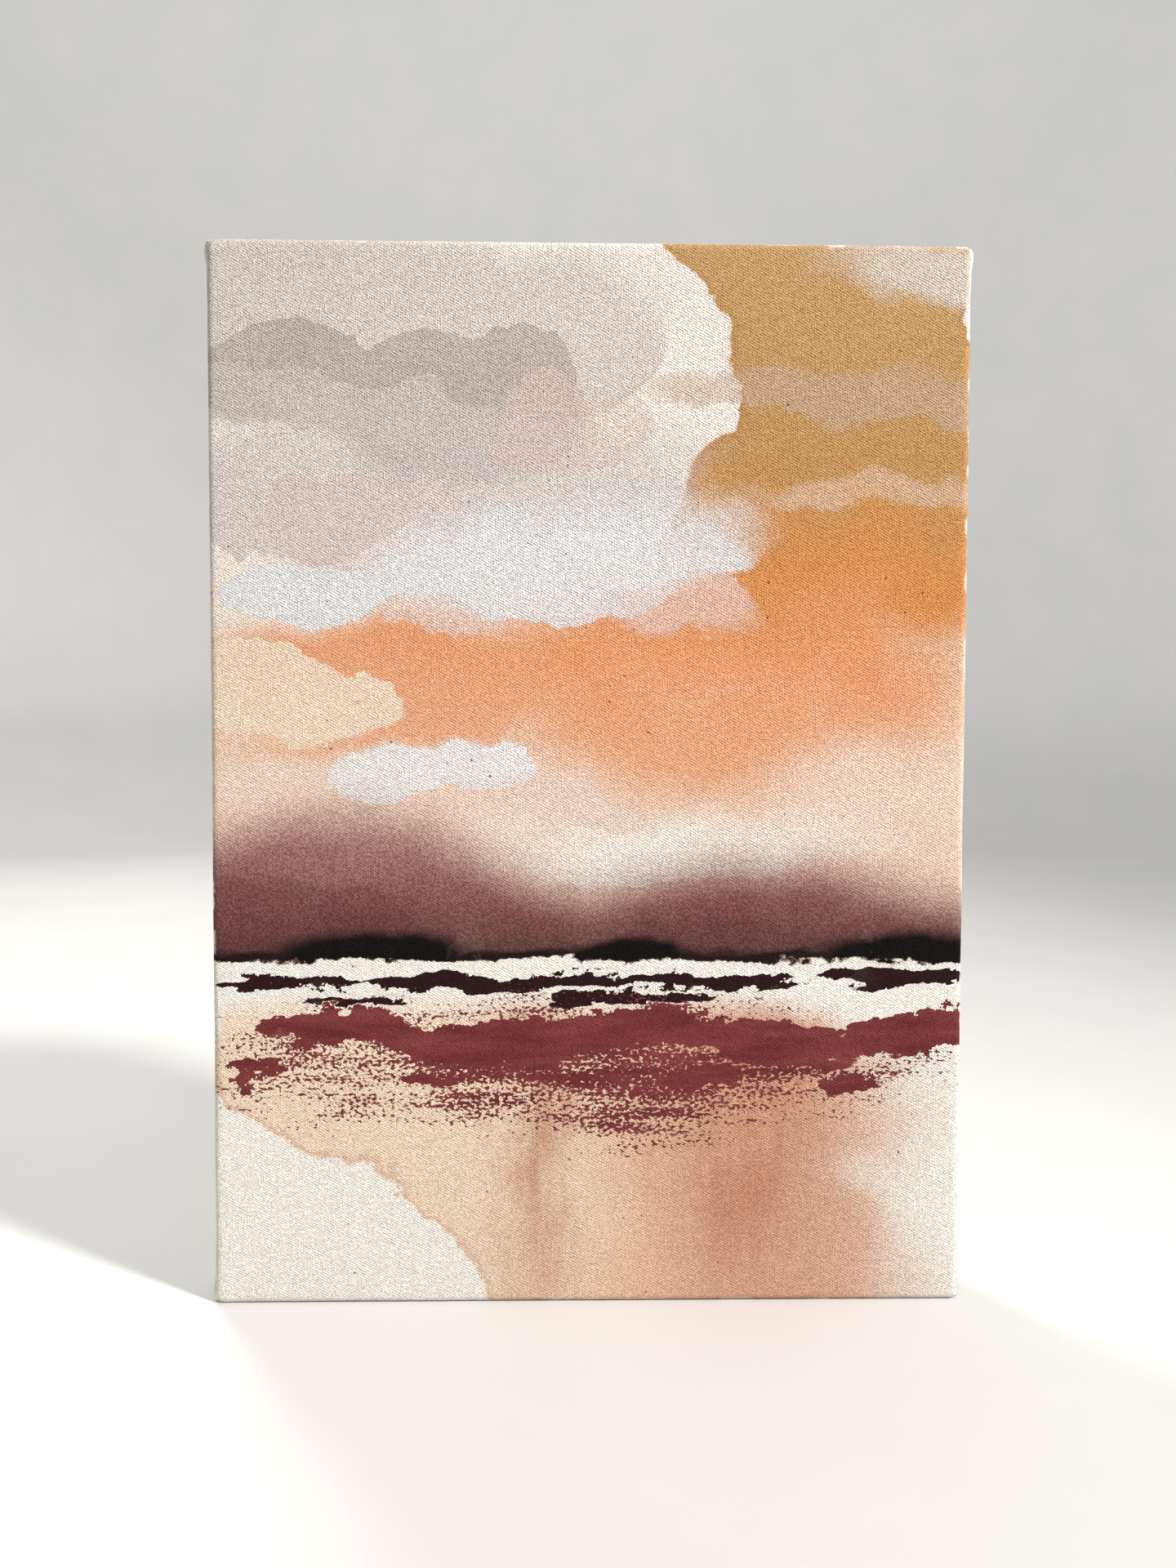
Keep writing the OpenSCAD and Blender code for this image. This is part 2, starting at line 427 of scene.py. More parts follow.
def staple_path():
    """The middle line of a staple's wire: (distance along the crown, height), from leg to leg."""
    half = CROWN_LEN / 2 - WIRE_T / 2
    side = []
    for i in range(SHOULDER_STEPS + 1):
        a = math.pi / 2 * i / SHOULDER_STEPS
        side.append((half - SHOULDER_R + SHOULDER_R * math.cos(a), SHOULDER_R * (math.sin(a) - 1)))
    right = [(half, -LEG_LEN), (half, -LEG_LEN / 2), *side, (half / 2, CROWN_SIDE_BOW)]
    return right + [(0, CROWN_BOW)] + [(-u, v) for u, v in reversed(right)]


def wire_section():
    """The outline of the flat wire, with its corners rounded off: (across, height)."""
    points = []
    for cx, cy, start in ((1, 1, 0), (-1, 1, 90), (-1, -1, 180), (1, -1, 270)):
        for turn in (0, 45, 90):
            a = math.radians(start + turn)
            points.append((
                cx * (WIRE_W / 2 - WIRE_CORNER_R) + WIRE_CORNER_R * math.cos(a),
                cy * (WIRE_T / 2 - WIRE_CORNER_R) + WIRE_CORNER_R * math.sin(a),
            ))
    return points


def add_staple(mesh, staple, tilt, sink):
    """Sweeps the wire's section along a staple's path."""
    back = Vector((0, 1, 0))
    along = Matrix.Rotation(tilt, 3, "Y") @ staple.along
    across = along.cross(back)
    base = staple.at - back * (WIRE_T / 2 + sink)
    path = staple_path()
    rings = []
    for i, (u, v) in enumerate(path):
        before = path[max(i - 1, 0)]
        after = path[min(i + 1, len(path) - 1)]
        run = (along * (after[0] - before[0]) + back * (after[1] - before[1])).normalized()
        out = across.cross(run).normalized()
        centre = base + along * u + back * v
        rings.append([mesh.verts.new(centre + across * p + out * q) for p, q in wire_section()])
    join_rings(mesh, rings)
    cap_ends(mesh, rings)


def staple_steel():
    tree = Tree("staple_steel", metallic=1.0)
    x, y, z = tree.place()
    streak_size = 0.3 * MM
    dull_size = 4 * MM
    streak = tree.noise(x / streak_size, y / streak_size, z / streak_size, detail=3)
    dull = tree.noise(x / dull_size, y / dull_size, z / dull_size, detail=3)
    tree.feed(tree.shader.inputs["Base Color"], tree.ramp(dull, [(0.35, "a9aaab"), (0.7, "d2d2d3")]))
    tree.feed(tree.shader.inputs["Roughness"], 0.28 + 0.25 * dull)
    tree.bump(streak * 0.02)
    return tree.material


def make_staples():
    steel = staple_steel()
    shake = random.Random(5)
    for node, group in STAPLES.items():
        mesh = bmesh.new()
        for staple in group:
            tilt = math.radians(shake.uniform(-STAPLE_TILT, STAPLE_TILT))
            sink = shake.uniform(*STAPLE_SINK) * MM
            add_staple(mesh, staple, tilt, sink)
        bmesh.ops.recalc_face_normals(mesh, faces=mesh.faces)
        piece = as_object(node + "_wire", mesh)
        piece.data.materials.append(steel)
        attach(piece, PANEL)
        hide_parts(node)


# ---- Cloth: shape ----

# A place across the wrapped cloth, from the edge of the face to the edge of
# the hem: inset from the outside, depth, the two parts of the outward
# direction, the cloth's length so far, and the corner radius seen in front.
Station = namedtuple("Station", "inset depth out back run radius")

# A place round the panel: its point, its outward direction, which edge it is
# on, the distance to the corners of a side, and the turn of a corner (0 at
# the side edge and 1 at the top or bottom edge).
Spot = namedtuple("Spot", "x z nx nz edge down turn")

FRONT_STEPS = 7              # faces across the bend in front
BACK_STEPS = 6               # and across the one behind
SIDE_CELL = 0.75 * CELL
HEM_CELL = 0.6 * CELL

SIDE_RUN = math.pi / 2 * FRONT_R
BACK_RUN = SIDE_RUN + HEM_BACK - FRONT - FRONT_R - BACK_R
HEM_RUN = BACK_RUN + math.pi / 2 * BACK_R
CLOTH_RUN = HEM_RUN + HEM_W - BACK_R


def stations():
    """The places across the wrapped cloth, in order."""
    found = []
    for i in range(FRONT_STEPS + 1):
        a = math.pi / 2 * i / FRONT_STEPS
        found.append(Station(
            FRONT_R * (1 - math.sin(a)), FRONT + FRONT_R * (1 - math.cos(a)),
            math.sin(a), -math.cos(a), FRONT_R * a, CORNER_R * math.sin(a),
        ))
    depth = BACK_RUN - SIDE_RUN
    side_steps = round(depth / SIDE_CELL)
    for i in range(1, side_steps + 1):
        far = depth * i / side_steps
        found.append(Station(0, FRONT + FRONT_R + far, 1, 0, SIDE_RUN + far, CORNER_R))
    for i in range(1, BACK_STEPS + 1):
        a = math.pi / 2 * i / BACK_STEPS
        found.append(Station(
            BACK_R * (1 - math.cos(a)), HEM_BACK - BACK_R * (1 - math.sin(a)),
            math.cos(a), math.sin(a), BACK_RUN + BACK_R * a,
            CORNER_R + (FOLD_R - CORNER_R) * math.sin(a),
        ))
    hem = CLOTH_RUN - HEM_RUN
    hem_steps = round(hem / HEM_CELL)
    for i in range(1, hem_steps + 1):
        far = hem * i / hem_steps
        found.append(Station(BACK_R + far, HEM_BACK, 0, 1, HEM_RUN + far, FOLD_R))
    return found


ACROSS_CELLS = round((WIDTH - 2 * FRONT_R) / CELL)
UP_CELLS = round((HEIGHT - 2 * FRONT_R) / CELL)
TURN_STEPS = 14


def round_the_panel(inset, radius):
    """The spots round the panel at one station, from the bottom left corner and anticlockwise."""
    x0, x1 = -HALF_W + inset, HALF_W - inset
    z0, z1 = inset, HEIGHT - inset
    spots = []

    def straight(start, end, count, normal, edge):
        for i in range(count + 1):
            x = start[0] + (end[0] - start[0]) * i / count
            z = start[1] + (end[1] - start[1]) * i / count
            down = min(z - z0, z1 - z) - radius
            spots.append(Spot(x, z, *normal, edge, down, 0))

    def corner(cx, cz, start, from_side):
        for i in range(1, TURN_STEPS):
            share = i / TURN_STEPS
            a = math.radians(start + 90 * share)
            nx, nz = math.cos(a), math.sin(a)
            turn = share if from_side else 1 - share
            spots.append(Spot(cx + radius * nx, cz + radius * nz, nx, nz, "corner", 0, turn))

    straight((x0 + radius, z0), (x1 - radius, z0), ACROSS_CELLS, (0, -1), "level")
    corner(x1 - radius, z0 + radius, -90, False)
    straight((x1, z0 + radius), (x1, z1 - radius), UP_CELLS, (1, 0), "side")
    corner(x1 - radius, z1 - radius, 0, True)
    straight((x1 - radius, z1), (x0 + radius, z1), ACROSS_CELLS, (0, 1), "level")
    corner(x0 + radius, z1 - radius, 90, False)
    straight((x0, z1 - radius), (x0, z0 + radius), UP_CELLS, (-1, 0), "side")
    corner(x0 + radius, z0 + radius, 180, True)
    return spots


def on_hem(station):
    """0 on the face and the sides, and 1 on the back."""
    return smooth(HEM_RUN - BACK_R, HEM_RUN, station.run)


PLEAT_START = 0.6 * FRONT_R               # run at which a corner fold begins to widen
PLEAT_TAPER = 0.55                        # how much it narrows for each unit of hem
PLEAT_RISE = (0.4 * FRONT_R, 2.4 * FRONT_R)    # runs between which it rises to its full height
LIP_DROP = (0.36, 0.56)                   # turns at which the fold's lip ends in a groove
LIP_RETURN = (0.60, 0.85)                 # and at which the cloth is level again
CREASE_EDGE = (-1.2 * MM, 1.6 * MM)       # how softly the fold's slanting edge ends
RIDGE_H = 0.12 * MM                       # the small ridge along that edge
RIDGE_W = 1.3 * MM
SLACK_H = 0.55 * MM                       # how far the cloth stands off beside a corner
SLACK_REACH = (3 * MM, 22 * MM)           # distances from the corner between which that ends


def fold_height(station, spot):
    """How far the layers folded into a corner lift the cloth that covers them."""
    on_the_hem = max(station.run - HEM_RUN, 0)
    reach = min(max(station.run - PLEAT_START, 0), PLEAT_REACH) - PLEAT_TAPER * on_the_hem
    begin = smooth(*PLEAT_RISE, station.run)
    tall = PLEAT_H + (HEM_PLEAT_H - PLEAT_H) * on_hem(station)
    if spot.edge == "level":
        return 0
    if spot.edge == "corner":
        groove = 0.2
        lip = 1 - (1 + groove) * smooth(*LIP_DROP, spot.turn) + groove * smooth(*LIP_RETURN, spot.turn)
        return tall * begin * lip
    crease = 1 - smooth(*CREASE_EDGE, spot.down - reach)
    ridge = RIDGE_H * math.exp(-((spot.down - reach) / RIDGE_W) ** 2)
    slack = SLACK_H * (1 - smooth(*SLACK_REACH, spot.down)) * station.out
    return begin * (tall * crease + ridge + slack)


DENT_REACH = 15 * MM         # beyond this a staple leaves no mark
PRESS_H = 0.26 * MM          # how deep its crown presses the cloth
PRESS_LEN = 6 * MM
PRESS_W = 1.3 * MM
PUCKER_H = 0.09 * MM         # the small swellings beside the crown
PUCKER_LEN = 7 * MM
PUCKER_W = 1.6 * MM
PUCKER_AT = 3.2 * MM


def staple_dent(x, z):
    """The cloth is pressed in under a staple and puckers beside it."""
    dent = 0
    for staple in ALL_STAPLES:
        dx = x - staple.at.x
        dz = z - staple.at.z
        if abs(dx) > DENT_REACH or abs(dz) > DENT_REACH:
            continue
        along = dx * staple.along.x + dz * staple.along.z
        across = dx * staple.along.z - dz * staple.along.x
        press = math.exp(-((along / PRESS_LEN) ** 4) - (across / PRESS_W) ** 2)
        beside = (abs(across) - PUCKER_AT) / PUCKER_W
        pucker = math.exp(-((along / PUCKER_LEN) ** 2) - beside ** 2)
        dent += PUCKER_H * pucker - PRESS_H * press
    return dent


def waviness(x, y, z, size, seed):
    """Smooth noise between -1 and 1 with features of the given size. Each seed has its own."""
    return noise.noise(Vector((x / size, y / size + seed, z / size)))


SIDE_WAVE_H = 0.13 * MM      # how uneven the sides are
HEM_RIPPLE_H = 0.10 * MM     # how slack the hem lies
CUT_WAVE_H = 0.7 * MM        # how far the hem's cut edge strays


def cloth_point(station, spot):
    """A point of the cloth's outer surface."""
    depth = station.depth
    lift = fold_height(station, spot)
    lift += station.out * SIDE_WAVE_H * waviness(spot.x, depth, spot.z, size=35 * MM, seed=3)
    ripple = HEM_RIPPLE_H * (1 + waviness(spot.x, 0, spot.z, size=14 * MM, seed=7))
    lift += on_hem(station) * (ripple + staple_dent(spot.x, spot.z))
    edge = smooth(0.4, 1, (station.run - HEM_RUN) / (CLOTH_RUN - HEM_RUN))
    uneven = edge * CUT_WAVE_H * waviness(spot.x, 0, spot.z, size=22 * MM, seed=11)
    x = spot.x + spot.nx * (station.out * lift + uneven)
    z = spot.z + spot.nz * (station.out * lift + uneven)
    return Vector((x, depth + station.back * lift, max(z, 0)))


FACE_SAG = 0.22 * MM         # how far the face sinks, before its unevenness
SAG_FULL_AT = 25 * MM        # distance from the front bend at which it has sunk that far


def face_point(x, z):
    """A point of the face, which isn't quite flat."""
    return Vector((x, FRONT + face_relief(x, z), z))


def face_relief(x, z):
    """How far the face sinks at a place: nothing along its edges, and unevenly inside them."""
    near = min(x + HALF_W, HALF_W - x, z, HEIGHT - z) - FRONT_R
    uneven = 0.6 + waviness(x, 0, z, size=60 * MM, seed=1)
    return FACE_SAG * smooth(0, SAG_FULL_AT, near) * uneven


def flat_place(station, spot, inner):
    """Where a point lay on the cloth before it was wrapped, measured in X and Z.
    A corner is split down its middle, where its fold is."""
    right, up = math.copysign(1, spot.nx), math.copysign(1, spot.nz)
    quarter = station.radius * math.pi / 2
    if spot.edge == "corner" and spot.turn < 0.5:
        return Vector((inner.x + right * station.run, inner.z + up * quarter * spot.turn, 0))
    if spot.edge == "corner":
        return Vector((inner.x + right * quarter * (1 - spot.turn), inner.z + up * station.run, 0))
    return Vector((inner.x + spot.nx * station.run, inner.z + spot.nz * station.run, 0))


def wrapped_surface():
    """The outer surface of the cloth, as one sheet."""
    mesh = bmesh.new()
    flat = mesh.verts.layers.float_vector.new("flat")

    def vert(point, place):
        made = mesh.verts.new(point)
        made[flat] = place
        return made

    rows = stations()
    edge_of_face = round_the_panel(rows[0].inset, 0)
    rings = []
    for row in rows:
        ring = []
        for spot, inner in zip(round_the_panel(row.inset, row.radius), edge_of_face):
            ring.append(vert(cloth_point(row, spot), flat_place(row, spot, inner)))
        rings.append(ring)
    join_rings(mesh, rings)

    x0, z0 = -HALF_W + FRONT_R, FRONT_R
    grid = []
    for j in range(UP_CELLS + 1):
        z = z0 + (HEIGHT - 2 * FRONT_R) * j / UP_CELLS
        line = []
        for i in range(ACROSS_CELLS + 1):
            x = x0 + (WIDTH - 2 * FRONT_R) * i / ACROSS_CELLS
            line.append(vert(face_point(x, z), Vector((x, z, 0))))
        grid.append(line)
    for low, high in zip(grid, grid[1:]):
        for i in range(ACROSS_CELLS):
            mesh.faces.new((low[i], low[i + 1], high[i + 1], high[i]))
    bmesh.ops.remove_doubles(mesh, verts=mesh.verts, dist=CLOTH_WELD)
    bmesh.ops.recalc_face_normals(mesh, faces=mesh.faces)
    face_centre = Vector((0, FRONT, HEIGHT / 2))
    middle = min(mesh.faces, key=lambda f: (f.calc_center_median() - face_centre).length)
    if middle.normal.y > 0:
        bmesh.ops.reverse_faces(mesh, faces=mesh.faces)
    return mesh


def applied(thing):
    """Gives an object the mesh that its modifiers make, and removes them."""
    graph = bpy.context.evaluated_depsgraph_get()
    made = bpy.data.meshes.new_from_object(
        thing.evaluated_get(graph), preserve_all_data_layers=True, depsgraph=graph
    )
    thing.modifiers.clear()
    thing.data = made
    return thing


def make_cloth():
    cloth = as_object("wrapped_cloth", wrapped_surface())
    bare_cotton = raw_cotton()
    threads = make_threads(bare_cotton)
    cloth.data.materials.append(painted_cotton())
    cloth.data.materials.append(bare_cotton)
    shell = cloth.modifiers.new("thickness", "SOLIDIFY")
    shell.thickness = CLOTH_T
    shell.offset = -1
    shell.material_offset = 1
    shell.material_offset_rim = 1
    applied(cloth)
    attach(cloth, PANEL)
    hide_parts("canvas")
    WIDTH - 2 * FRONT_R + 2 * CLOTH_RUN
    HEIGHT - 2 * FRONT_R + 2 * CLOTH_RUN


# ---- Loose threads along the cut edge of the hem ----

THREAD_R = 0.09 * MM
THREADS_PER_EDGE = 110
THREAD_STEPS = 6
THREAD_SIDES = 5
THREAD_CURL = 1.1            # radians either way that one curls
THREAD_LEAN = 0.7            # radians either way that it leaves the edge at
THREAD_RISE = 0.45           # how steeply it may rise off the hem
THREAD_TAPER = 0.5           # share of its radius that it loses towards its end
THREAD_SHORT = 1.2           # length of the shortest, in millimetres
THREAD_SPREAD = 5.5          # how much longer the longest is
THREAD_DEPTHS = (-0.05, 0.2)    # millimetres behind the middle of the hem's thickness


def add_thread(mesh, flat, start, heading, length, shake):
    """A thin thread that leaves the cut edge and curls."""
    curl = shake.uniform(-THREAD_CURL, THREAD_CURL)
    rise = shake.uniform(0.0, THREAD_RISE)
    point = start.copy()
    angle = math.atan2(heading.z, heading.x) + shake.uniform(-THREAD_LEAN, THREAD_LEAN)
    rings = []
    for i in range(THREAD_STEPS + 1):
        run = Vector((math.cos(angle), rise, math.sin(angle))).normalized()
        across = run.cross(Vector((0, 1, 0))).normalized()
        out = across.cross(run)
        radius = THREAD_R * (1 - THREAD_TAPER * i / THREAD_STEPS)
        ring = []
        for k in range(THREAD_SIDES):
            a = 2 * math.pi * k / THREAD_SIDES
            vert = mesh.verts.new(point + radius * (across * math.cos(a) + out * math.sin(a)))
            vert[flat] = Vector((point.x, point.z, 0))
            ring.append(vert)
        rings.append(ring)
        point = point + run * (length / THREAD_STEPS)
        angle += curl / THREAD_STEPS
    join_rings(mesh, rings)
    cap_ends(mesh, rings)


def make_threads(cotton):
    """Threads round the hem's four cut edges. Returns the piece."""
    shake = random.Random(11)
    mesh = bmesh.new()
    flat = mesh.verts.layers.float_vector.new("flat")
    inset = HEM_W - 0.5 * MM
    depth = HEM_BACK - 0.5 * CLOTH_T
    low = Vector((-HALF_W + inset, depth, inset))
    high = Vector((HALF_W - inset, depth, HEIGHT - inset))
    for _ in range(THREADS_PER_EDGE):
        for across in (True, False):
            for near in (True, False):
                spot = Vector((shake.uniform(low.x, high.x), depth, shake.uniform(low.z, high.z)))
                heading = Vector((0, 0, 0))
                if across:
                    spot.z = low.z if near else high.z
                    heading.z = 1 if near else -1
                else:
                    spot.x = low.x if near else high.x
                    heading.x = 1 if near else -1
                length = (THREAD_SHORT + THREAD_SPREAD * shake.random() ** 3) * MM
                spot.y += shake.uniform(*THREAD_DEPTHS) * MM
                add_thread(mesh, flat, spot, heading, length, shake)
    bmesh.ops.recalc_face_normals(mesh, faces=mesh.faces)
    threads = as_object("hem_threads", mesh)
    threads.data.materials.append(cotton)
    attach(threads, PANEL)
    return threads


# ---- Cloth: materials ----

WANDER_SIZE = 7 * MM         # how often the threads stray
WANDER = 1.8                 # and how far, in threads
PEBBLE_ACROSS = 0.62 * MM    # uneven thread, as single grains
PEBBLE_UP = 0.70 * MM
PATCH_SIZE = 1.8 * MM        # patches where the ribs stand out more or less
SLUB_LEN = 8 * MM            # thick stretches of single threads
SLUB_UP_W = 0.55 * MM
SLUB_ACROSS_W = 0.50 * MM
SLUB_LEVELS = (0.60, 0.80)   # levels of noise that make one


def weave(tree, x, z):
    """The twill's height, up and down from 0: ribs, the threads that make them, grains and slubs."""
    full_turn = 2 * math.pi
    wander = tree.noise(x / WANDER_SIZE, z / WANDER_SIZE, 3, detail=2)
    u = x / THREAD_ACROSS + wander * WANDER
    v = z / THREAD_UP + wander * WANDER
    rib = tree.math("SINE", (u + v) * (full_turn / TWILL_REPEAT))
    float_over = tree.math("SINE", (v - 2 * u) * (full_turn / TWILL_REPEAT))
    warp = tree.math("SINE", u * full_turn)
    pebble = tree.noise(x / PEBBLE_ACROSS, z / PEBBLE_UP, 5, detail=2) - 0.5
    strength = tree.noise(x / PATCH_SIZE, z / PATCH_SIZE, 9, detail=1) * 1.8
    slub_up = tree.noise(x / SLUB_UP_W, z / SLUB_LEN, 6, detail=1).step(*SLUB_LEVELS)
    slub_across = tree.noise(x / SLUB_LEN, z / SLUB_ACROSS_W, 8, detail=1).step(*SLUB_LEVELS)
    ribs = (rib * 0.8 + float_over * 0.5 + warp * 0.3) * strength
    return ribs + pebble * 6 + slub_up + slub_across


def settled_pigment(tree, x, z):
    """How much pigment has settled at a place: uneven from one thread to the next."""
    fine_across = 1.05 * MM
    fine_up = 0.95 * MM
    coarse_size = 3.2 * MM
    fine = tree.noise(x / fine_across, z / fine_up, 41, detail=1)
    coarse = tree.noise(x / coarse_size, z / coarse_size, 42, detail=2)
    return (fine * 0.75 + coarse * 0.25).step(0.39, 0.61)


SPECK_R = 0.55 * MM          # radius of the largest seed speck
SPECK_SOFT = 0.15 * MM       # softness of its edge
SPECK_PICK = (0.35, 0.4)     # places whose random number is under this have none


def seed_specks(tree, x, z, spacing, seed):
    """Bits of cotton seed caught in the threads: small dark specks, far apart."""
    far, colour = tree.cells(x / spacing, z / spacing, seed)
    pick = Field(tree, tree.add("ShaderNodeSeparateColor", {0: colour}).outputs[0])
    size = pick * (SPECK_R / spacing)
    return (size - far).step(0, SPECK_SOFT / spacing) * pick.step(*SPECK_PICK)


class Paint:
    """Layers of colour, one over the other."""

    def __init__(self, tree, colour):
        self.tree = tree
        self.colour = colour

    def lay(self, amount, colour):
        if isinstance(colour, str):
            colour = hexa(colour)
        self.colour = self.tree.mix(amount, self.colour, colour)


def lobes(s, t, discs, blend=0.12):
    """How far outside a group of discs a place is, in units of each disc's own radius: 1 on the edge."""
    nearest = None
    for cs, ct, rs, rt in discs:
        ds = (s - cs) / rs
        dt = (t - ct) / rt
        far = s.tree.math("SQRT", ds * ds + dt * dt)
        nearest = far if nearest is None else nearest.math("SMOOTH_MIN", far, blend)
    return nearest


# A translucent wash: its colour, how much it covers, how soft its softest
# edge is, between which heights it turns from crisp to soft, and the discs
# that it fills, as (s, t, half width, half height).
Wash = namedtuple("Wash", "colour cover soft turns discs")

CLOUDS = [
    Wash("b7aca5", 0.58, 0.35, (1.25, 1.42), [(0.18, 1.33, 0.24, 0.11), (0.44, 1.28, 0.17, 0.10)]),
    Wash("9b8e89", 0.55, 0.20, (1.30, 1.10), [(0.10, 1.22, 0.15, 0.08), (0.33, 1.19, 0.20, 0.09)]),
    Wash("bcb2ae", 0.62, 0.45, (1.02, 1.18), [(0.40, 1.10, 0.22, 0.08), (0.12, 1.08, 0.14, 0.07)]),
    Wash("c9b4ad", 0.50, 0.30, (1.10, 0.95), [(0.22, 1.04, 0.14, 0.07), (0.48, 1.17, 0.10, 0.06)]),
    Wash("d2d3d5", 0.82, 0.60, (0.92, 1.05), [
        (0.40, 0.985, 0.20, 0.065), (0.58, 1.02, 0.12, 0.055), (0.13, 0.955, 0.13, 0.050),
    ]),
    Wash("d3bcb5", 0.60, 0.40, (0.95, 0.85), [(0.60, 0.945, 0.10, 0.040), (0.30, 0.915, 0.08, 0.030)]),
    Wash("b39a86", 0.60, 0.25, (1.12, 1.22), [(0.78, 1.215, 0.20, 0.030), (0.95, 1.185, 0.14, 0.028)]),
    Wash("c8ab94", 0.60, 0.30, (1.00, 1.10), [(0.88, 1.075, 0.17, 0.022)]),
    Wash("c3b9b0", 0.85, 0.30, (1.30, 1.40), [(1.00, 1.36, 0.16, 0.05)]),
    Wash("e3d1bc", 0.80, 0.35, (0.80, 0.70), [(0.04, 0.82, 0.13, 0.055), (0.15, 0.79, 0.10, 0.035)]),
    Wash("e4ded6", 0.85, 0.80, (0.52, 0.62), [(0.62, 0.62, 0.20, 0.045)]),
    Wash("dedad9", 0.92, 0.15, (0.70, 0.78), [(0.24, 0.695, 0.09, 0.040), (0.35, 0.715, 0.06, 0.038)]),
    Wash("dcc5b9", 0.75, 0.80, (0.60, 0.70), [(0.46, 0.675, 0.10, 0.030)]),
]

GLOW = [
    (0.84, 1.40, 0.20, 0.14), (0.86, 1.22, 0.19, 0.17), (0.84, 1.02, 0.25, 0.17),
    (0.66, 0.84, 0.36, 0.14), (0.24, 0.82, 0.28, 0.09),
]

BLOTS = [(0.21, 0.465, 0.14, 0.036), (0.55, 0.465, 0.09, 0.026), (0.92, 0.465, 0.12, 0.038)]

POOL = [(0.44, 0.33, 0.46, 0.13), (0.56, 0.22, 0.38, 0.15), (0.64, 0.06, 0.30, 0.14)]

STROKES = [
    (0.10, 0.436, 0.10, 0.008), (0.38, 0.436, 0.18, 0.013), (0.66, 0.430, 0.13, 0.010),
    (0.55, 0.410, 0.12, 0.009), (0.90, 0.440, 0.10, 0.011), (0.20, 0.412, 0.08, 0.006),
]

MAROON = [
    (0.17, 0.375, 0.12, 0.025), (0.37, 0.352, 0.15, 0.034), (0.56, 0.372, 0.13, 0.026),
    (0.76, 0.350, 0.14, 0.034), (0.95, 0.368, 0.07, 0.028), (0.28, 0.305, 0.05, 0.014),
    (0.64, 0.302, 0.045, 0.016), (0.86, 0.300, 0.05, 0.013), (0.06, 0.318, 0.04, 0.012),
]


SHORE = 0.462                # height of the shore line, on the same scale as the discs
OPAQUE_MM = 0.07             # thickness of the opaque paint


